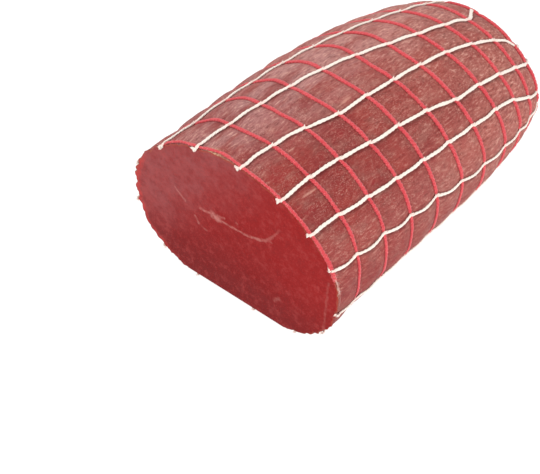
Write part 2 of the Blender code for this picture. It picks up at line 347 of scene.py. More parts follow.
def valley_relief(u, v, arc, to_string, to_hoop):
    """Height of the bulges between the cords and of the valleys and grooves in which the cords lie."""
    fade = np.clip((ARC[-1] - arc) / VALLEY_FADE_RADIUS, 0, 1)
    past = v > HOOPS - 0.5
    rim = v < 0.5
    pole_swell = 1 - (v - HOOPS + 0.5) * 2 * END_DIMPLE / HOOP_VALLEY
    along = np.where(past, pole_swell, np.abs(np.sin(math.pi * v)) ** HOOP_VALLEY_POWER)
    bulge = np.clip(along, 0, 1)
    depth = HOOP_VALLEY + CROSSING_VALLEY * bell(to_string, CROSSING_WIDTH) * fade
    depth = depth * (1 + VALLEY_VARIATION * noise(u, v, u_rate=1, v_rate=1, seed=11))
    relief = CROWN * bulge * fade - np.where(rim, RIM_VALLEY, depth) * (1 - along)
    by_string = fade * (STRING_VALLEY_AT_HOOPS + (1 - STRING_VALLEY_AT_HOOPS) * bulge)
    round_it = np.abs(np.sin(math.pi * u)) ** STRING_VALLEY_POWER
    relief = relief - STRING_VALLEY * by_string * (1 - round_it)
    relief = relief - CORD_GROOVE * by_string * bell(to_string, GROOVE_WIDTH)
    return relief - CORD_GROOVE * bell(to_hoop, GROOVE_WIDTH) * np.where(past | rim, 0, 1)


def skin_relief(u, v, angle, arc, to_string, to_hoop):
    """Height of the skin's wrinkles and soft lumps, and of the teeth along the edge of the cut."""
    wrinkles = WRINKLE * layered(u, v, WRINKLE_LAYERS)
    lumps = LUMP * layered(u, v, LUMP_LAYERS) * (1 - bell(to_string, LUMPS_FROM_STRING))
    calmed = 1 - CALM_AT_HOOP * bell(to_hoop, SKIN_FROM_HOOP)
    skin = np.interp(arc, ARC, SHRINK) * calmed * (wrinkles + lumps)
    raggedness = RAGGED_RIM * (1 + RAGGED_LEFT * np.clip(-np.cos(angle), 0, 1))
    return skin + raggedness * layered(u, v, TOOTH_LAYERS) * bell(v * MEAN_SPACING, RAGGED_REACH)


def meat_surface(u, v):
    """Points of the meat's side with its relief, and the outward direction of the even body."""
    angle, arc = net_place(u, v)
    outward = body_normal(angle, arc)
    to_string, to_hoop = cord_distances(u, v)
    relief = valley_relief(u, v, arc, to_string, to_hoop)
    relief = relief + skin_relief(u, v, angle, arc, to_string, to_hoop)
    point = body_point(angle, arc) + outward * np.minimum(relief, HIGHEST_RELIEF)[..., None]
    lowest = np.maximum(
        (WHITE_THICKNESS + FLOOR_GAP) * bell(to_string, UNDER_STRING_WIDTH),
        (RED_THICKNESS + FLOOR_GAP) * bell(to_hoop, UNDER_HOOP_WIDTH),
    )
    point[..., 2] = np.clip(point[..., 2], lowest, cad_high.z)
    return point, outward


def above_meat(u, v, lift):
    """Points at a height above the meat's side, and the outward direction there."""
    surface, outward = meat_surface(u, v)
    return surface + outward * np.asarray(lift)[..., None], outward


# Mesh helpers

def crowded(cells, lines_per_cell):
    """Grid lines in net units, closer together beside the cords."""
    even = np.arange(cells * lines_per_cell) / lines_per_cell
    return even - CROWDING * np.sin(2 * math.pi * even) / (2 * math.pi)


def strip_faces(rows, columns, start=0):
    """Corner numbers of the four-sided faces of a grid that closes round its columns."""
    row, column = np.meshgrid(np.arange(rows - 1), np.arange(columns), indexing="ij")
    onward = (column + 1) % columns
    faces = np.stack([
        row * columns + column,
        row * columns + onward,
        (row + 1) * columns + onward,
        (row + 1) * columns + column,
    ], -1)
    return (faces.reshape(-1, 4) + start).tolist()


def mesh_piece(name, corners, faces, materials):
    mesh = bpy.data.meshes.new(name)
    mesh.from_pydata(np.asarray(corners).tolist(), [], faces)
    mesh.shade_smooth()
    for finish in materials:
        mesh.materials.append(finish)
    piece = bpy.data.objects.new(name, mesh)
    bpy.context.scene.collection.objects.link(piece)
    return piece


def point_attribute(mesh, name, values):
    layer = mesh.attributes.new(name, "FLOAT", "POINT")
    layer.data.foreach_set("value", np.asarray(values, np.float32))


# Node helpers

MIX_FIRST_COLOUR = 6  # sockets of the Mix node when it mixes colours
MIX_SECOND_COLOUR = 7
MIX_COLOUR_RESULT = 2


def colour(red, green, blue):
    """A linear colour from the 0 to 255 values of a screen."""
    def linear(value):
        value = value / 255
        return value / 12.92 if value <= 0.04045 else ((value + 0.055) / 1.055) ** 2.4
    return (linear(red), linear(green), linear(blue), 1.0)


class Shader:
    """A material under construction: its methods add nodes, and base is its colour so far."""

    def __init__(self, name):
        self.material = bpy.data.materials.new(name)
        self.material.use_nodes = True
        self.tree = self.material.node_tree
        self.surface = self.tree.nodes["Principled BSDF"]
        self.place = self.node("ShaderNodeTexCoord").outputs["Object"]
        self.base = None

    def node(self, kind, inputs=(), **settings):
        made = self.tree.nodes.new(kind)
        for name, value in settings.items():
            setattr(made, name, value)
        for key, value in dict(inputs).items():
            self.feed(made.inputs[key], value)
        return made

    def feed(self, socket, value):
        if isinstance(value, bpy.types.NodeSocket):
            self.tree.links.new(value, socket)
        else:
            socket.default_value = value

    def split(self):
        """The place as x, y and z."""
        return tuple(self.node("ShaderNodeSeparateXYZ", {0: self.place}).outputs)

    def noise(self, scale, detail=2.0, roughness=0.5, stretch=None, output="Fac"):
        """Noise over the place, drawn out along each axis whose stretch is below 1."""
        place = self.place
        if stretch:
            place = self.node("ShaderNodeMapping", {"Vector": place, "Scale": stretch}).outputs["Vector"]
        inputs = {"Vector": place, "Scale": scale, "Detail": detail, "Roughness": roughness}
        return self.node("ShaderNodeTexNoise", inputs).outputs[output]

    def math(self, operation, first, second=0.0, clamp=False):
        made = self.node("ShaderNodeMath", {0: first, 1: second}, operation=operation, use_clamp=clamp)
        return made.outputs["Value"]

    def vector(self, operation, first, second=(0, 0, 0)):
        made = self.node("ShaderNodeVectorMath", {0: first, 1: second}, operation=operation)
        return made.outputs["Value" if operation in ("LENGTH", "DOT_PRODUCT") else "Vector"]

    def gather(self, operation, values):
        """One value from several, such as the largest of them."""
        gathered = values[0]
        for value in values[1:]:
            gathered = self.math(operation, gathered, value)
        return gathered

    def times(self, *values):
        return self.gather("MULTIPLY", values)

    def ramp(self, value, low, high, out_low=0.0, out_high=1.0):
        """A smooth step from out_low to out_high as the value goes from low to high, or down to high."""
        inputs = {"Value": value, "From Min": low, "From Max": high, "To Min": out_low, "To Max": out_high}
        return self.node("ShaderNodeMapRange", inputs, interpolation_type="SMOOTHSTEP").outputs["Result"]

    def mix(self, share, first, second):
        inputs = {"Factor": share, MIX_FIRST_COLOUR: first, MIX_SECOND_COLOUR: second}
        return self.node("ShaderNodeMix", inputs, data_type="RGBA").outputs[MIX_COLOUR_RESULT]

    def blend(self, share, first, second):
        """Starts the base with two colours."""
        self.base = self.mix(share, colour(*first), colour(*second))

    def cover(self, share, rgb):
        """Lays a share of another colour over the base."""
        self.base = self.mix(share, self.base, colour(*rgb))

    def tint(self, value, low, high, most, rgb):
        """Lays another colour over the base, with a share that grows to the most at high."""
        self.cover(self.ramp(value, low, high, 0.0, most), rgb)

    def attribute(self, name):
        return self.node("ShaderNodeAttribute", attribute_name=name).outputs["Fac"]

    def bump(self, height, strength, distance):
        inputs = {"Height": height, "Strength": strength, "Distance": distance}
        return self.node("ShaderNodeBump", inputs).outputs["Normal"]

    def finish(self, roughness, normal=None, specular=0.5, sheen=0.0):
        self.feed(self.surface.inputs["Base Color"], self.base)
        self.feed(self.surface.inputs["Roughness"], roughness)
        if normal is not None:
            self.feed(self.surface.inputs["Normal"], normal)
        self.surface.inputs["Specular IOR Level"].default_value = specular
        self.surface.inputs["Sheen Weight"].default_value = sheen
        return self.material


# Finishes. Colours are screen values from 0 to 255, and the ramps over x, y and z are in metres.

def side_material():
    """The dry outside: brown-red, mottled, with pale dusty specks, a painted sheen above, and painted
    contact shade and shadow beside the cords.
    """
    look = Shader("beef_dry_side")
    x, y, z = look.split()

    # Mottled lean
    patches = look.noise(38, 3)
    look.blend(look.ramp(patches, 0.35, 0.65), (131, 44, 42), (144, 53, 48))
    red = look.noise(210, 3, 0.6, stretch=(1.0, 0.6, 1.0))
    look.tint(red, 0.50, 0.72, 0.55, (140, 32, 36))
    grey = look.noise(120, 4, 0.65, stretch=(1.0, 0.5, 1.0))
    look.tint(grey, 0.46, 0.70, 0.50, (140, 92, 82))

    # Painted sheen of reflected light on the upper left, pale dust with painted sheen towards the far end,
    # and a paler low band
    cloud = look.noise(120, 3, 0.6, stretch=(1.0, 0.30, 1.0))
    painted_sheen = look.times(
        look.ramp(z, 0.066, 0.094), look.ramp(x, 0.026, -0.020), look.ramp(cloud, 0.36, 0.60, 0.20, 1.0)
    )
    far = look.times(look.ramp(y, -0.070, 0.070), look.ramp(cloud, 0.30, 0.60, 0.45, 1.0))
    low = look.times(look.ramp(z, 0.080, 0.066, 0.0, 0.35), look.ramp(z, 0.040, 0.058))
    look.cover(look.times(painted_sheen, look.ramp(y, -0.090, -0.020, 0.54, 0.74)), (188, 140, 136))
    look.cover(look.times(far, 0.48), (190, 122, 109))
    look.cover(look.times(low, 0.40), (190, 122, 114))
    # The largest of the painted sheen, the far dust and sheen, and the low band
    dust_and_sheen = look.gather("MAXIMUM", (far, painted_sheen, low))

    # Fibres along the joint, which show more where the pale dust and painted sheen lie
    fibres = look.noise(880, 4, 0.72, stretch=(1.0, 0.26, 1.0))
    look.tint(fibres, 0.50, 0.72, 0.38, (190, 122, 108))
    look.tint(fibres, 0.50, 0.28, 0.50, (100, 24, 25))
    look.cover(look.times(look.ramp(fibres, 0.53, 0.66), dust_and_sheen, 0.62), (224, 176, 160))
    look.cover(look.times(look.ramp(fibres, 0.48, 0.34), dust_and_sheen, 0.45), (92, 48, 40))

    # Fine specks and long pale flecks
    specks = look.noise(2300, 2, 0.6, stretch=(1.0, 0.5, 1.0))
    speckled = look.ramp(look.noise(90), 0.35, 0.65, 0.15, 0.60)
    look.cover(look.times(look.ramp(specks, 0.52, 0.72), speckled), (204, 152, 138))
    flecks = look.noise(330, stretch=(1.0, 0.06, 1.0))
    look.tint(flecks, 0.68, 0.76, 0.50, (212, 156, 138))

    # Scraps of dried fat behind the rim, then painted contact shade beside the cords and a painted shadow
    # line below each string
    look.cover(look.times(look.attribute("scrap"), look.ramp(specks, 0.35, 0.55)), (240, 200, 158))
    look.cover(look.times(look.attribute("crease"), 0.40), (92, 22, 24))
    look.cover(look.times(look.attribute("shade"), 0.45), (70, 18, 20))

    height = look.math("ADD", look.times(fibres, 0.8), look.times(specks, 0.6))
    roughness = look.ramp(patches, 0.3, 0.7, 0.60, 0.80)
    return look.finish(roughness, look.bump(height, 0.8, 0.40 * MM), specular=0.22)


# Fat lines of the cut: points in mm across and up it, half width in mm, strength
STREAKS = (
    (((-21.1, 50.3), (-13.0, 51.1)), 0.9, 0.36),
    (((-13.0, 51.1), (-9.2, 50.4)), 2.1, 0.52),
    (((-11.4, 52.2), (-5.5, 53.3)), 0.8, 0.30),
    (((-8.8, 50.5), (3.1, 50.4), (11.9, 51.5)), 0.8, 0.32),
    (((11.9, 51.5), (16.2, 52.9), (21.1, 55.0)), 0.95, 0.36),
    (((21.1, 55.0), (24.9, 56.2)), 0.8, 0.16),
    (((21.2, 55.6), (25.4, 60.0)), 1.0, 0.22),
    (((25.4, 60.0), (27.2, 63.0), (29.6, 67.6)), 0.8, 0.15),
    (((-24.7, 42.9), (-22.5, 39.5)), 0.8, 0.28),
    (((-20.3, 38.3), (-17.2, 37.6)), 0.7, 0.16),
    (((-37.4, 54.8), (-34.6, 52.2), (-31.0, 49.5)), 0.7, 0.20),
    (((-32.0, 50.3), (-31.0, 49.5)), 0.9, 0.24),
    (((26.7, 17.9), (29.6, 20.6)), 1.2, 0.16),
    (((2.2, 55.1), (3.0, 55.1)), 0.8, 0.14),
    (((59.6, 52.1), (57.6, 19.5)), 0.8, 0.11),
)
STREAK_WAVER = 2.2 * MM


def segment_distance(look, place, start, end):
    """Distance from the shaded point to the straight line between two points of the cut, given in mm."""
    origin = Vector((start[0], 0, start[1])) * MM
    span = Vector((end[0], 0, end[1])) * MM - origin
    from_origin = look.vector("SUBTRACT", place, tuple(origin))
    shadow = look.vector("DOT_PRODUCT", from_origin, tuple(span))
    share = look.math("MULTIPLY", shadow, 1 / span.length_squared, clamp=True)
    nearest = look.node("ShaderNodeVectorMath", {0: tuple(span), "Scale": share}, operation="SCALE")
    return look.vector("LENGTH", look.vector("SUBTRACT", from_origin, nearest.outputs["Vector"]))


def fat_lines(look):
    """The share of fat at the shaded point, from all of the streaks."""
    warp = look.vector("SUBTRACT", look.noise(320, output="Color"), (0.5, 0.5, 0.5))
    shift = look.vector("MULTIPLY", warp, (STREAK_WAVER, 0, STREAK_WAVER))
    flat = look.vector("MULTIPLY", look.vector("ADD", look.place, shift), (1, 0, 1))
    lines = []
    for points, half_width, strength in STREAKS:
        distances = [segment_distance(look, flat, start, end) for start, end in zip(points, points[1:])]
        distance = look.gather("MINIMUM", distances)
        edge = 1.5 * half_width * MM
        core = 0.1 * half_width * MM
        lines.append(look.ramp(distance, edge, core, 0.0, strength))
    return look.gather("MAXIMUM", lines)


def cut_material():
    """The cut: smooth deep red lean with thin fat lines, painted shade low down, a painted sheen on the
    upper left, painted glow along the left rim and a paler dried rim.
    """
    look = Shader("beef_cut_face")
    x, _, z = look.split()

    # Lean, with painted shade that darkens it towards the floor
    look.blend(look.ramp(z, 0.010, 0.085), (131, 2, 3), (146, 11, 10))
    look.tint(x, 0.0, 0.055, 0.75, (150, 11, 10))
    look.tint(z, 0.040, 0.004, 0.60, (104, 3, 4))

    # Painted sheen, a reflection of the light, on the upper left, and cloudy lighter and darker places
    clouds = look.noise(230, 4, 0.7)
    stray = look.times(look.math("SUBTRACT", look.noise(26), 0.5), 0.04)
    sheen_line = look.math("ADD", look.math("SUBTRACT", z, x), stray)
    painted_sheen = look.times(look.ramp(sheen_line, 0.050, 0.103), look.ramp(clouds, 0.35, 0.65, 0.70, 1.0))
    look.cover(painted_sheen, (149, 65, 65))
    sheen_blotches = look.times(painted_sheen, look.ramp(look.noise(85), 0.46, 0.62, 0.0, 0.50))
    look.cover(sheen_blotches, (149, 75, 76))
    look.tint(clouds, 0.48, 0.68, 0.30, (176, 70, 68))
    look.tint(clouds, 0.50, 0.32, 0.26, (108, 16, 20))

    # Short upright strokes and fine grain of the lean
    strokes = look.noise(420, stretch=(1.0, 1.0, 0.35))
    look.tint(strokes, 0.62, 0.76, 0.16, (190, 78, 76))
    grain = look.noise(1150, 3, 0.65)
    look.tint(grain, 0.50, 0.72, 0.34, (190, 66, 64))
    look.tint(grain, 0.48, 0.28, 0.30, (96, 8, 12))

    # Fat lines, broken here and there
    fat = fat_lines(look)
    unbroken = look.ramp(look.noise(420), 0.30, 0.62, 0.35, 1.0)
    look.cover(look.times(fat, unbroken), (226, 158, 148))

    # The dried rim: a red band inside it on the left, a painted glow of the light that shines through the
    # thin edge, then the thin brown skin all round
    rim_stray = look.times(look.noise(210, 3), 2.4 * MM)
    rim = look.math("ADD", look.attribute("rim_distance"), rim_stray)
    left = look.times(
        look.ramp(x, -0.030, -0.060), look.ramp(z, 0.068, 0.056), look.ramp(clouds, 0.36, 0.54, 0.35, 1.0)
    )
    band = look.times(look.ramp(rim, 5.0 * MM, 2.6 * MM, 0.0, 0.72), left)
    look.cover(band, (192, 56, 52))
    look.tint(rim, 2.2 * MM, 1.4 * MM, 0.60, (160, 78, 62))

    height = look.math("ADD", grain, look.times(fat, -0.5))
    roughness = look.ramp(grain, 0.3, 0.7, 0.36, 0.50)
    return look.finish(roughness, look.bump(height, 0.25, 0.15 * MM), specular=0.08)


def white_material():
    """Off-white cotton, pinker where it has soaked up meat juice by the hoops."""
    look = Shader("white_cotton")
    look.blend(look.noise(120), (236, 221, 209), (247, 236, 226))
    stain = look.times(look.attribute("stain"), look.ramp(look.noise(500), 0.3, 0.7, 0.5, 1.0))
    look.cover(stain, (232, 160, 150))
    fibres = look.noise(2600, 2, 0.6, stretch=(1.0, 0.35, 1.0))
    look.tint(fibres, 0.50, 0.25, 0.30, (206, 184, 166))
    return look.finish(0.9, look.bump(fibres, 0.5, 0.12 * MM), specular=0.2, sheen=0.15)


def red_material():
    """Red covered elastic thread: bright, with a fine nap."""
    look = Shader("red_elastic_thread")
    look.blend(look.noise(90), (200, 58, 66), (212, 76, 82))
    nap = look.noise(1900, 2, 0.6)
    look.tint(nap, 0.50, 0.78, 0.6, (244, 156, 154))
    look.tint(nap, 0.48, 0.22, 0.5, (168, 32, 42))
    return look.finish(0.8, look.bump(nap, 0.6, 0.15 * MM), specular=0.25, sheen=0.2)


FLOOR_GLOW = 0.92  # the floor is a light table, so its shadows wash out


def floor_material():
    look = Shader("floor_white")
    look.blend(look.noise(3), (126, 126, 126), (132, 132, 132))
    look.surface.inputs["Emission Color"].default_value = (1.0, 1.0, 1.0, 1.0)
    look.surface.inputs["Emission Strength"].default_value = FLOOR_GLOW
    return look.finish(0.9, specular=0.1)


# Meat

FACE_INSETS = (0.35 * MM, 0.9 * MM, 1.8 * MM)  # first rings of the cut, in from its rim
FACE_RINGS = 24
FACE_UNEVENNESS = 0.12 * MM
EDGE_ROUNDING = 0.35 * MM
# Scraps of dried fat behind the rim: share, place in u and reach, place in v and reach
SCRAPS = ((1, 1.35, 0.14, 0.05, 0.09), (0.5, 1.60, 0.35, 0.03, 0.05), (0.32, 5.55, 0.35, 0.02, 0.05))
SCRAP_VARIATION = 0.6
# Reach of the painted contact shade beside strings and hoops
CONTACT_SHADE_BY_STRING = 1.7 * MM
CONTACT_SHADE_BY_HOOP = 1.5 * MM
SHADE_FROM_STRING = 1.5 * MM  # a thin line of shade below each string
SHADE_WIDTH = 0.7 * MM


def cut_rings(rim, middle, u):
    """Rings of corners over the cut, from just inside its rim to just short of its middle."""
    reach = np.linalg.norm((rim - middle)[:, [0, 2]], axis=1)
    shares = [1 - inset / reach for inset in FACE_INSETS]
    last_inset = shares[-1]
    for share in np.linspace(1, 0, FACE_RINGS + 1)[1:-1]:
        shares.append(share * last_inset)
    shares = np.array(shares)
    rings = middle + (rim - middle) * shares[..., None]
    uneven = noise(u[None, :], np.arange(len(shares))[:, None], u_rate=1.5, v_rate=0.31, seed=31)
    uneven = uneven * 4 * shares * (1 - shares)
    rings[..., 1] = cut_plane_y(rings[..., 0]) + FACE_UNEVENNESS * uneven
    return rings


def meat_faces(rows, columns, ring_count):
    """Faces of the side with its far end, and faces of the cut, between the corners of build_meat."""
    neighbours = [(column, (column + 1) % columns) for column in range(columns)]
    side_count = rows * columns
    last_row = side_count - columns
    pole = side_count + ring_count * columns
    side = [face[::-1] for face in strip_faces(rows, columns)]
    side += [[last_row + onward, last_row + here, pole] for here, onward in neighbours]
    last_ring = pole - columns
    centre = pole + 1
    cut = [[here, onward, side_count + onward, side_count + here] for here, onward in neighbours]
    cut += strip_faces(ring_count, columns, start=side_count)
    cut += [[last_ring + here, last_ring + onward, centre] for here, onward in neighbours]
    return side, cut


def mark_side(mesh, grid_u, grid_v):
    """Stores where painted contact shade lies beside the cords, where a painted shadow lies below strings,
    and where the side has scraps of fat.
    """
    to_string, to_hoop = cord_distances(grid_u, grid_v)
    crease = np.maximum(bell(to_string, CONTACT_SHADE_BY_STRING), bell(to_hoop, CONTACT_SHADE_BY_HOOP))
    shade = bell(to_string - SHADE_FROM_STRING, SHADE_WIDTH) * (grid_u > np.round(grid_u))
    scrap = 0
    for share, at_u, u_reach, at_v, v_reach in SCRAPS:
        scrap = scrap + share * bell(grid_u - at_u, u_reach) * bell(grid_v - at_v, v_reach)
    scrap = scrap * (1 + SCRAP_VARIATION * noise(grid_u, grid_v, u_rate=12, v_rate=20, seed=41))
    for name, values in (("crease", crease), ("shade", shade), ("scrap", scrap)):
        filler = np.zeros(len(mesh.vertices) - values.size)
        point_attribute(mesh, name, np.concatenate([values.ravel(), filler]))


def mark_rim_distance(mesh, corners, rim, side_count):
    """Stores how far the corners of the cut lie from its rim, seen along the joint."""
    distance = np.zeros(len(corners))
    distance[side_count:] = np.inf
    for x, _, z in rim:
        away = np.hypot(corners[side_count:, 0] - x, corners[side_count:, 2] - z)
        distance[side_count:] = np.minimum(distance[side_count:], away)
    point_attribute(mesh, "rim_distance", distance)


def sharpen_rim(mesh, columns):
    """Keeps the shading of the cut and of the side apart."""
    ends = np.zeros(len(mesh.edges) * 2, np.int32)
    mesh.edges.foreach_get("vertices", ends)
    sharp = (ends.reshape(-1, 2) < columns).all(axis=1)
    layer = mesh.attributes.get("sharp_edge") or mesh.attributes.new("sharp_edge", "BOOLEAN", "EDGE")
    layer.data.foreach_set("value", sharp)


def build_meat():
    u = crowded(STRINGS, MEAT_COLUMNS_PER_CELL)
    v = crowded(HOOPS, MEAT_ROWS_PER_CELL)
    grid_v, grid_u = np.meshgrid(v, u, indexing="ij")
    side, _ = meat_surface(grid_u, grid_v)
    side[0, :, 1] = cut_plane_y(side[0, :, 0]) + EDGE_ROUNDING
    rim = side[0]
    middle = rim.mean(axis=0)
    rings = cut_rings(rim, middle, u)
    pole = side[-1].mean(axis=0)
    pole[1] = CUT_Y + LENGTH - END_DIMPLE
    centre = [middle[0], cut_plane_y(middle[0]), middle[2]]
    corners = np.concatenate([side.reshape(-1, 3), rings.reshape(-1, 3), [pole], [centre]])
    side_faces, cut_faces = meat_faces(len(v), len(u), len(rings))
    piece = mesh_piece("beef_joint", corners, side_faces + cut_faces, [side_material(), cut_material()])
    finishes = np.repeat([0, 1], [len(side_faces), len(cut_faces)])
    piece.data.polygons.foreach_set("material_index", finishes.astype(np.int32))
    mark_side(piece.data, grid_u, grid_v)
    mark_rim_distance(piece.data, corners, rim, grid_u.size)
    sharpen_rim(piece.data, len(u))
    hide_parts("meat")
    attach(piece, "root")


# Cords

PLIES = 2
PLY_SIDES = 7
PLY_HALF_THICKNESS = 0.42  # for its cord's thickness
PLY_SWELL = 0.08  # the share by which a ply varies
PLY_SWELL_SPACING = 11 * MM
WHITE_TWIST = (0.39, 5.2 * MM)  # half width of a ply for its cord's width, length of a turn
RED_TWIST = (0.36, 4.0 * MM)
HAIR_SIDES = 3
HAIR_STEPS = 4
HAIR_RADIUS = 0.06 * MM
HAIR_CLEARANCE = 0.2 * MM  # no hair comes nearer to the floor


def cord_frames(centres, outward, closed=False):
    """Across and outward directions along a cord."""
    if closed:
        along = np.roll(centres, -1, axis=0) - np.roll(centres, 1, axis=0)
    else:
        along = np.gradient(centres, axis=0)
    across = unit(np.cross(along, outward))
    return across, unit(np.cross(across, along))


def run_length(centres):
    return np.concatenate([[0], np.cumsum(np.linalg.norm(np.diff(centres, axis=0), axis=1))])


def keep_off_floor(centres, thickness):
    centres[:, 2] = np.maximum(centres[:, 2], FLOOR_GAP + thickness / 2)


def oval_rings(centres, across, outward, width, thickness, sides=PLY_SIDES):
    """Rings of corners round a strand, whose width and thickness are given at each centre."""
    turn = 2 * math.pi * np.arange(sides) / sides
    wide = across[:, None, :] * (np.cos(turn)[None, :, None] * width[:, None, None] / 2)
    high = outward[:, None, :] * (np.sin(turn)[None, :, None] * thickness[:, None, None] / 2)
    return centres[:, None, :] + wide + high


class Strands:
    """Corners, faces and one stain value a corner, gathered from several strands into one piece."""

    def __init__(self):
        self.corners = []
        self.faces = []
        self.stains = []
        self.count = 0

    def add(self, rings, stain=0.0, closed=False):
        """Adds a tube through rings of corners, closed on itself or with end caps."""
        ring_count, sides = rings.shape[:2]
        last = (ring_count - 1) * sides
        faces = strip_faces(ring_count, sides)
        if closed:
            for side in range(sides):
                onward = (side + 1) % sides
                faces.append([last + side, last + onward, onward, side])
        else:
            faces.append(list(range(sides))[::-1])
            faces.append([last + side for side in range(sides)])
        self.corners.append(rings.reshape(-1, 3))
        self.faces += [[corner + self.count for corner in face] for face in faces]
        self.stains.append(np.repeat(np.broadcast_to(stain, ring_count), sides))
        self.count += ring_count * sides

    def ribbon(self, centres, outward, width, thickness, stain):
        """Adds one flat strand."""
        across, out = cord_frames(centres, outward)
        self.add(oval_rings(centres, across, out, width, thickness), stain)

    def twisted(self, centres, outward, width, thickness, twist, seed, stain=0.0, closed=False):
        """Adds a cord of twisted plies, whose width and thickness are given at each centre."""
        across, out = cord_frames(centres, outward, closed)
        length = run_length(centres)
        total = length[-1]
        ply_share, pitch = twist
        if closed:
            total = total + np.linalg.norm(centres[0] - centres[-1])
            pitch = total / round(total / pitch)
        rng = np.random.default_rng(seed)
        ply_width = width * 2 * ply_share
        ply_thickness = thickness * 2 * PLY_HALF_THICKNESS
        swells = round(total / PLY_SWELL_SPACING)
        for ply in range(PLIES):
            start = rng.uniform(0, 2 * math.pi)
            fatness = 1 + PLY_SWELL * np.sin(2 * math.pi * swells * length / total + start)
            phase = 2 * math.pi * (length / pitch + ply / PLIES)
            offset = across * (np.cos(phase) * (width - ply_width) / 2)[:, None]
            offset = offset + out * (np.sin(phase) * (thickness - ply_thickness) / 2)[:, None]
            rings = oval_rings(centres + offset, across, out, ply_width * fatness, ply_thickness * fatness)
            self.add(rings, stain, closed)

    def hairs(self, centres, outward, radius, count, length, seed, stain=0.0):
        """Adds fine loose fibres that stand off a cord, each a bent three-sided spike."""
        rng = np.random.default_rng(seed)
        across, out = cord_frames(centres, outward)
        along = unit(np.gradient(centres, axis=0))
        share = np.linspace(0, 1, HAIR_STEPS)
        for _ in range(count):
            at = rng.integers(2, len(centres) - 2)
            turn = rng.uniform(-0.2, math.pi + 0.2)
            lean = rng.uniform(-1.2, 1.2)
            reach = 0.6 * length * rng.uniform(0.4, 1.0)
            curl = rng.normal(0, 0.5, 3)
            start = across[at] * math.cos(turn) + out[at] * math.sin(turn)
            stem = start + along[at] * lean
            root = centres[at] + start * radius[at] * 0.8
            points = root + (stem + curl * share[:, None]) * (reach * share)[:, None]
            if points[:, 2].min() < HAIR_CLEARANCE:
                continue
            one_side = unit(np.cross(stem, along[at] + out[at] * 0.3))
            other_side = unit(np.cross(one_side, stem))
            width = 2 * HAIR_RADIUS * (1 - 0.8 * share)
            self.add(oval_rings(points, one_side[None], other_side[None], width, width, HAIR_SIDES), stain)

    def piece(self, name, finish):
        made = mesh_piece(name, np.concatenate(self.corners), self.faces, [finish])
        point_attribute(made.data, "stain", np.concatenate(self.stains))
        return made


# Strings

STRING_STEP = 0.8 * MM
STRING_END_V = HOOPS - 0.30
STRING_WAVER = 0.012  # how far a string strays from its line, in cells
EMBED = 0.05 * MM  # how deep a string sits in the meat
HUMP = 0.60 * MM  # how far a string rises to pass over a hoop
HUMP_WIDTH = 1.8 * MM
SIDESTEP = 0.50 * MM  # the small sideways step of a string at each hoop
SIDESTEP_TURN = 0.5 * MM
SIDESTEP_REACH = 2.5 * MM
# How far a string's end reaches from the first hoop towards the cut, millimetres
OVERHANGS = (2.4, 2.4, 1.6, 1.5, 1.8, 1.2, 1.3) + (0.8,) * 7
OVERHANG_DROOP = 0.35 / MM  # how fast the end past the rim bends down
OVERHANG_TAPER = 0.5  # share of its width that the longest would lose
# Lengths and widths of the folded ends in millimetres
FOOT_LENGTHS = (2.6, 3.4, 3.0, 2.6, 1.8, 2.8, 1.2, 0.6, 0.5, 0.5, 0.5, 1.2, 1.2, 1.4)
FOOT_WIDTHS = (3.2, 2.4, 2.4, 3.2, 2.7, 1.8) + (1.6,) * 8
FOOT_OVERHANG = 0.42  # share of its string's overhang
FOOT_LIFT = 0.10 * MM  # above the meat at its start, and more at its tip
FOOT_TIP_LIFT = 0.15 * MM
FOOT_FLATNESS = 0.65
STRING_WIDTHS = (1.00, 1.14, 1, 1, 1, 0.88, 0.75, 0.8, 1, 1, 1, 1, 1, 0.8)  # share of the full width
WIDTH_SWELL = 0.07  # the share by which a string varies
WIDTH_SWELL_SPACING = 13 * MM
# Strings that turn aside near the far end: from which hoop count, over how much of it, how many cells
END_BENDS = {1: (9.22, 1.3, -0.42), 2: (9.55, 0.6, 0.30)}
LAST_SHOWN_HOOP = 10  # the one that shows along the far outline
LOOSE_STRANDS_STRING = 5  # its end has frayed


def sidestep(distance):
    """Sideways shift of a string at a distance along it from a hoop."""
    return SIDESTEP * np.tanh(distance / SIDESTEP_TURN) * np.exp(-np.abs(distance) / SIDESTEP_REACH)


def end_bend(number, v):
    """How far a string has turned aside at a hoop count, in cells."""
    start, over, share = END_BENDS.get(number, (0, 1, 0))
    return share * np.clip((v - start) / over, 0, 1) * smooth_step(STRING_END_V - v)


def string_route(number):
    """Centres and outward directions of a string, how far each lies over a hoop and past the rim."""
    steps = round(hoop_arc(np.array(STRING_END_V)) / STRING_STEP)
    v = np.linspace((RIM_HOOP_SETBACK - OVERHANGS[number] * MM) / FIRST_SPACING, STRING_END_V, steps)
    waver = STRING_WAVER * noise(np.full_like(v, number + 0.5), v, u_rate=1, v_rate=1.3, seed=100 + number)
    surface, outward = meat_surface(number + waver + end_bend(number, v), np.maximum(v, 0))
    past_rim = -np.minimum(v, 0) * FIRST_SPACING
    surface[:, 1] -= past_rim
    hoop = np.round(v)
    hoop_v = np.where(hoop == 0, RIM_HOOP_SETBACK / FIRST_SPACING, hoop)
    to_hoop = (v - hoop_v) * MEAN_SPACING
    over = bell(to_hoop, HUMP_WIDTH) * (hoop < HOOPS)
    lift = WHITE_THICKNESS / 2 - EMBED + HUMP * over - OVERHANG_DROOP * past_rim ** 2
    fade = np.clip((STRING_END_V - v) / 2, 0, 1) * (hoop > 0)
    across, _ = cord_frames(surface, outward)
    centres = surface + outward * lift[:, None] + across * (sidestep(to_hoop) * fade)[:, None]
    keep_off_floor(centres, WHITE_THICKNESS)
    return centres, outward, over, past_rim


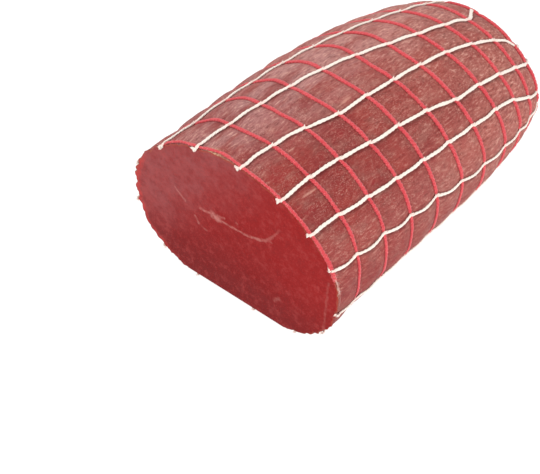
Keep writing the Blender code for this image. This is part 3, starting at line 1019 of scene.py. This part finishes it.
def add_foot(strands, number):
    """The folded end of a string, a tapered stub along the rim of the cut."""
    t = np.linspace(0, 1, 16)
    step = 0.1
    near, _ = meat_surface(np.array([number, number - step]), np.zeros(2))
    cell = np.linalg.norm(near[1] - near[0]) / step
    u = number - FOOT_LENGTHS[number] * MM / cell * t
    centres, outward = above_meat(u, np.zeros_like(u), FOOT_LIFT + FOOT_TIP_LIFT * t)
    centres[:, 1] -= FOOT_OVERHANG * OVERHANGS[number] * MM * (1 - 0.3 * t)
    keep_off_floor(centres, WHITE_THICKNESS)
    width = FOOT_WIDTHS[number] * MM * (1 - 0.8 * t ** 1.5)
    strands.twisted(
        centres, outward, width, width * FOOT_FLATNESS, WHITE_TWIST, seed=350 + number, stain=0.35 * t
    )
    strands.hairs(centres, outward, width / 2, count=14, length=1.6 * MM, seed=450 + number, stain=0.3)


def add_loose_strands(strands):
    """Thin frayed strands that run down the rim from the end of the sixth string."""
    rng = np.random.default_rng(77)
    for _ in range(4):
        t = np.linspace(0, 1, 18)
        u = 5.02 + rng.uniform(0, 0.15) + rng.uniform(0.35, 0.75) * t
        v = 0.02 + rng.uniform(0, 0.04) + 0.02 * np.sin(rng.uniform(3, 6) * t + rng.uniform(0, 6))
        centres, outward = above_meat(u, v, 0.30 * MM + 0.25 * MM * np.sin(math.pi * t))
        width = rng.uniform(0.14, 0.20) * MM * (1.05 - t) ** 0.5
        strands.ribbon(centres, outward, width, 0.8 * width, stain=rng.uniform(0.9, 1.4))
    u = np.linspace(4.9, 5.6, 30)
    centres, outward = above_meat(u, np.full_like(u, 0.04), 0.3 * MM)
    radius = np.full_like(u, 0.4 * MM)
    strands.hairs(centres, outward, radius, count=60, length=2.2 * MM, seed=78, stain=0.5)


def add_stitches(strands, number):
    """Small flaps of string that lap over each hoop, on the side nearer to the cut."""
    for hoop in range(1, LAST_SHOWN_HOOP):
        rng = np.random.default_rng(3000 + 20 * number + hoop)
        t = np.linspace(0, 1, 9)
        length = rng.uniform(1.8, 2.6) * MM
        v = hoop + (t - 0.45) * length / MEAN_SPACING
        u = number - 0.050 * t * rng.uniform(0.5, 1.2) + end_bend(number, v)
        over = bell((v - hoop) * MEAN_SPACING, HUMP_WIDTH)
        centres, outward = above_meat(u, v, 0.72 * WHITE_THICKNESS + HUMP * over)
        keep_off_floor(centres, WHITE_THICKNESS)
        width = 1.3 * MM * STRING_WIDTHS[number] * (1.02 - t) ** 0.7
        strands.ribbon(centres, outward, width, 0.6 * width, stain=0.25)


def build_string(number, finish):
    centres, outward, over, past_rim = string_route(number)
    start = np.random.default_rng(200 + number).uniform(0, 6)
    swell = WIDTH_SWELL * np.sin(2 * math.pi * run_length(centres) / WIDTH_SWELL_SPACING + start)
    taper = 1 - OVERHANG_TAPER * past_rim / (max(OVERHANGS) * MM)
    width = WHITE_WIDTH * STRING_WIDTHS[number] * (1 + swell - 0.04 * over) * taper
    thickness = WHITE_THICKNESS * taper
    strands = Strands()
    strands.twisted(centres, outward, width, thickness, WHITE_TWIST, seed=300 + number, stain=0.30 * over)
    strands.hairs(centres, outward, width / 2, count=70, length=1.6 * MM, seed=400 + number, stain=0.1)
    add_foot(strands, number)
    add_stitches(strands, number)
    if number == LOOSE_STRANDS_STRING:
        add_loose_strands(strands)
    piece = strands.piece(f"white_string_{number + 1:02d}", finish)
    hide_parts(f"string_{number + 1:02d}")
    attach(piece, "root")


# Hoops

HOOP_STEPS_PER_CELL = 30
# Where the first hoop lies behind the rim, millimetres at each u
RIM_HOOP_PLACES = (0, 0.5, 1, 1.5, 2, 3, 4, 5, 5.7, 6.5, 13, 13.6, 14)
RIM_HOOP_SETBACKS = (1.0, 1.6, 1.0, 2.2, 0.9, 0.8, 0.7, 0.7, 1.5, 2.9, 2.9, 2.0, 1.1)
RIM_HOOP_SHARE = 0.80  # how thin the first hoop is beside the next
# Where it swells: place in u, reach, share. At the last it frays and goes under the skin
RIM_HOOP_SWELLS = ((4.75, 0.45, 0.35), (5.12, 0.10, 0.50))
FRAYED_FROM = 4.7
FRAYED_TO = 5.5
BURIED_FROM = 5.22  # between these the dried skin covers the first hoop
BURIED_TO = 13.85
BURIED_DEPTH = 1.6 * MM
HOOP_LIFT = 0.45 * MM  # of the first hoop, and more for each one on
HOOP_LIFT_GROWTH = 0.02 * MM
HOOP_PRESS = 0.25 * MM  # how far a string presses a hoop down
HOOP_PRESS_WIDTH = 1.6 * MM
HOOP_GROWTH = 0.035  # how much thicker each hoop past the third is than the last
HOOP_THINNING = ((5.8, 0.7, 0.22),)  # where they are stretched thinner: place in u, reach, share
HOOP_SINKING = ((13.55, 0.28, 0.8 * MM),)  # and sink into the meat: place, reach, depth
LAST_SHOWN_SETBACK = 0.035  # in hoop counts
LAST_SHOWN_RISE = 0.2 * MM
# Small strays of a hoop along the joint: share, cells to each unit of u and of v, seed less its number
HOOP_STRAYS = ((0.010, 1.5, 1, 500), (0.008, 4, 1, 520))
HOOP_WIDTH_VARIATION = 0.14


def hoop_route(number, u):
    """Centres and outward directions of a hoop, and how much a string presses it down there."""
    if number == 0:
        v = np.interp(u, RIM_HOOP_PLACES, RIM_HOOP_SETBACKS) * MM / FIRST_SPACING
    else:
        strays = [(share, u_rate, v_rate, seed + number) for share, u_rate, v_rate, seed in HOOP_STRAYS]
        v = number + layered(u, np.full_like(u, number), strays)
    if number == LAST_SHOWN_HOOP:
        v = v - LAST_SHOWN_SETBACK
    to_string, _ = cord_distances(u, v)
    press = bell(to_string, HOOP_PRESS_WIDTH)
    lift = HOOP_LIFT + HOOP_LIFT_GROWTH * number - HOOP_PRESS * press
    if number == LAST_SHOWN_HOOP:
        lift = lift + LAST_SHOWN_RISE
    if number == 0:
        lift = np.where((u > BURIED_FROM) & (u < BURIED_TO), -BURIED_DEPTH, lift)
        lift = sum(np.roll(lift, steps) for steps in (4, -4, 8, -8, 0)) / 5
    else:
        lift = lift - bells(u, HOOP_SINKING)
    centres, outward = above_meat(u, v, lift)
    keep_off_floor(centres, RED_THICKNESS)
    return centres, outward, press


def hoop_growth(number, u):
    """Thickness of a hoop beside that of the second, all round it."""
    if number == 0:
        return RIM_HOOP_SHARE + bells(u, RIM_HOOP_SWELLS)
    return (1 + HOOP_GROWTH * max(number - 2, 0)) * (1 - bells(u, HOOP_THINNING))


def build_hoop(number, finish):
    u = np.arange(STRINGS * HOOP_STEPS_PER_CELL) / HOOP_STEPS_PER_CELL
    centres, outward, press = hoop_route(number, u)
    growth = hoop_growth(number, u)
    variation = HOOP_WIDTH_VARIATION * noise(u, np.full_like(u, 0.5), u_rate=5, v_rate=1, seed=600 + number)
    width = RED_WIDTH * growth * (1 + variation)
    thickness = RED_THICKNESS * growth * (1 - 0.25 * press)
    strands = Strands()
    strands.twisted(centres, outward, width, thickness, RED_TWIST, seed=700 + number, closed=True)
    strands.hairs(centres, outward, width / 2, count=60, length=1.2 * MM, seed=800 + number)
    if number == 0:
        frayed = (u >= FRAYED_FROM) & (u < FRAYED_TO)
        radius = width[frayed] / 2
        strands.hairs(centres[frayed], outward[frayed], radius, count=60, length=2.2 * MM, seed=880)
    piece = strands.piece(f"red_hoop_{number + 1:02d}", finish)
    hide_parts(f"hoop_{number + 1:02d}")
    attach(piece, "root")


# Knot

BINDING_TURNS = 3.25
BINDING_RADIUS = 3.2 * MM
BINDING_REACH = (1.0 * MM, 4.0 * MM)  # above the knot's foot
BINDING_WIDTH = 1.6 * MM
BUNDLE_RADIUS = 2.4 * MM
BUNDLE_WAIST = 0.8 * MM  # how much slimmer half way up
BUNDLE_FLARE = 1.0 * MM  # how much wider at the tips, at most
BUNDLE_TURN = 0.5  # how far they turn round each other, in radians
BUNDLE_ROOT = 0.6 * MM  # how deep they start in the meat
BUNDLE_WIDTH = 1.5 * MM
KNOT_FLATNESS = 0.8


def round_axis(middle, radius, angle, y):
    """Points and outward directions round a line along the joint."""
    centres = np.stack([middle.x + radius * np.cos(angle), y, middle.z + radius * np.sin(angle)], -1)
    outward = np.stack([np.cos(angle), 0 * angle, np.sin(angle)], -1)
    return centres, outward


def build_knot(finish):
    """The strings' ends, bound by a few turns of string in the middle of the far end."""
    low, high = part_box("end_knot")
    middle = (low + high) / 2
    strands = Strands()
    angle = np.linspace(0, 2 * math.pi * BINDING_TURNS, 150)
    y = low.y + np.linspace(*BINDING_REACH, len(angle))
    centres, outward = round_axis(middle, BINDING_RADIUS, angle, y)
    width = np.full_like(angle, BINDING_WIDTH)
    strands.twisted(centres, outward, width, width * KNOT_FLATNESS, WHITE_TWIST, seed=900)
    for number in range(STRINGS):
        rng = np.random.default_rng(950 + number)
        t = np.linspace(0, 1, 14)
        radius = BUNDLE_RADIUS - BUNDLE_WAIST * np.sin(math.pi * t)
        radius = radius + BUNDLE_FLARE * rng.uniform(0.2, 1) * t ** 3
        y = low.y - BUNDLE_ROOT + (high.y - low.y) * rng.uniform(0.85, 1.0) * t
        angle = 2 * math.pi * number / STRINGS + BUNDLE_TURN * t
        centres, outward = round_axis(middle, radius, angle, y)
        width = np.full_like(t, BUNDLE_WIDTH)
        strands.twisted(centres, outward, width, width * KNOT_FLATNESS, WHITE_TWIST, seed=970 + number)
    piece = strands.piece("gathered_knot", finish)
    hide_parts("end_knot")
    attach(piece, "root")


# Stage

CAMERA_TARGET = Vector((-0.0169, -0.0546, 0.0))
CAMERA_AZIMUTH = 42.48
CAMERA_ELEVATION = 44.59
CAMERA_ROLL = 0.07
CAMERA_DISTANCE = 0.9136
CAMERA_LENS = 116.55
CAMERA_SENSOR = 36.0
FLOOR_HALF = 12.0
WORLD_STRENGTH = 0.75
LIGHT_TARGET = Vector((0, 0, 0.04))
# Name, place, diameter and power in watts of each round light
LIGHTS = (("key", (-1.1, -0.35, 1.25), 0.9, 11), ("fill", (1.25, -0.4, 0.75), 1.2, 12.2))


def build_camera():
    data = bpy.data.cameras.new("camera")
    data.sensor_width = CAMERA_SENSOR
    data.lens = CAMERA_LENS
    camera = bpy.data.objects.new("camera", data)
    place = Matrix.Translation(CAMERA_TARGET)
    for degrees, axis in ((CAMERA_AZIMUTH, "Z"), (90 - CAMERA_ELEVATION, "X"), (CAMERA_ROLL, "Z")):
        place = place @ Matrix.Rotation(math.radians(degrees), 4, axis)
    camera.matrix_world = place @ Matrix.Translation((0, 0, CAMERA_DISTANCE))
    bpy.context.scene.collection.objects.link(camera)
    bpy.context.scene.camera = camera


def area_light(name, place, diameter, power):
    data = bpy.data.lights.new(name, "AREA")
    data.shape = "DISK"
    data.size = diameter
    data.energy = power
    light = bpy.data.objects.new(name, data)
    light.location = place
    light.rotation_euler = (LIGHT_TARGET - Vector(place)).to_track_quat("-Z", "Y").to_euler()
    bpy.context.scene.collection.objects.link(light)


def build_stage():
    half = FLOOR_HALF
    corners = [(-half, -half, 0), (half, -half, 0), (half, half, 0), (-half, half, 0)]
    floor = mesh_piece("floor", corners, [[0, 1, 2, 3]], [floor_material()])
    world = bpy.data.worlds.new("studio")
    world.use_nodes = True
    background = world.node_tree.nodes["Background"]
    background.inputs["Color"].default_value = (1.0, 1.0, 1.0, 1.0)
    background.inputs["Strength"].default_value = WORLD_STRENGTH
    bpy.context.scene.world = world
    for light in LIGHTS:
        area_light(*light)
    bpy.context.scene.view_settings.view_transform = "Standard"


def main():
    build_camera()
    build_stage()
    build_meat()
    white = white_material()
    red = red_material()
    for number in range(STRINGS):
        build_string(number, white)
    for number in range(HOOPS):
        build_hoop(number, red)
    build_knot(white)


main()
